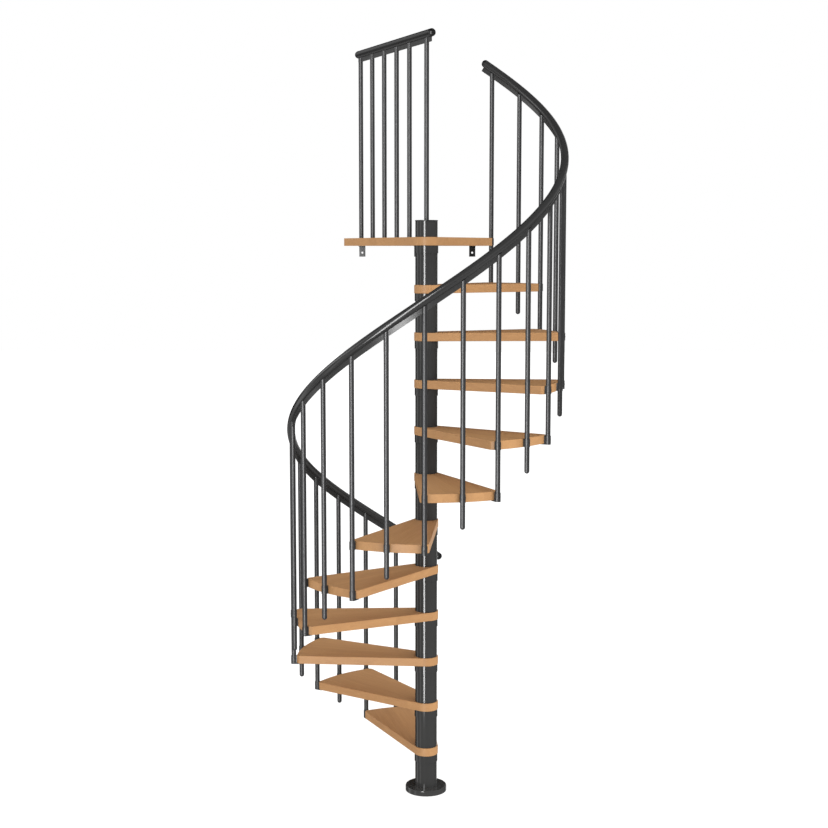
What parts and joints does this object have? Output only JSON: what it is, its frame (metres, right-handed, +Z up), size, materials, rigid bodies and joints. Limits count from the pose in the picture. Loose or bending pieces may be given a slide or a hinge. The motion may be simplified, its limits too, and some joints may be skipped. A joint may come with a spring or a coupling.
{
  "type": "spiral staircase",
  "caption": "Spiral staircase with laminated wood treads on a steel column, helical tube handrail on round balusters, and a top landing with brackets for a wall.",
  "frame": {"origin": "centre of the floor flange's underside, on the column's axis, at floor level", "axes": "+Z up along the column, +Y from the column towards the wall that holds the landing, +X to the right for someone who faces that wall; the stair climbs anticlockwise seen from above"},
  "size_m": [1.2758, 1.3879, 3.511],
  "materials": {
    "column_steel": "semi-gloss anthracite powder coat",
    "baluster_steel": "semi-gloss anthracite powder coat",
    "clamp_steel": "semi-gloss anthracite powder coat",
    "rail_steel": "gloss anthracite powder coat",
    "strip_steel": "satin anthracite powder coat",
    "bracket_steel": "satin black",
    "beech": "satin lacquer on laminated beech"
  },
  "bodies": {
    "root": {"floor_flange": "column_steel", "base_cover": "column_steel", "core_tube": "column_steel", "column_sleeves": "column_steel", "column_collars": "column_steel", "column_cap": "column_steel", "tread_01": "beech", "tread_02": "beech", "tread_03": "beech", "tread_04": "beech", "tread_05": "beech", "tread_06": "beech", "tread_07": "beech", "tread_08": "beech", "tread_09": "beech", "tread_10": "beech", "tread_11": "beech", "landing": "beech", "wall_brackets": "bracket_steel", "junction_balusters": "baluster_steel", "middle_balusters": "baluster_steel", "upper_clamps": "clamp_steel", "lower_clamps": "clamp_steel", "middle_clamps": "clamp_steel", "handrail_1": "rail_steel", "handrail_2": "rail_steel", "handrail_3": "rail_steel", "handrail_4": "rail_steel", "rail_strip": "strip_steel", "rail_end_caps": "rail_steel", "landing_rail": "rail_steel", "landing_rail_strip": "strip_steel", "landing_balusters": "baluster_steel"}
  },
  "joints": []
}
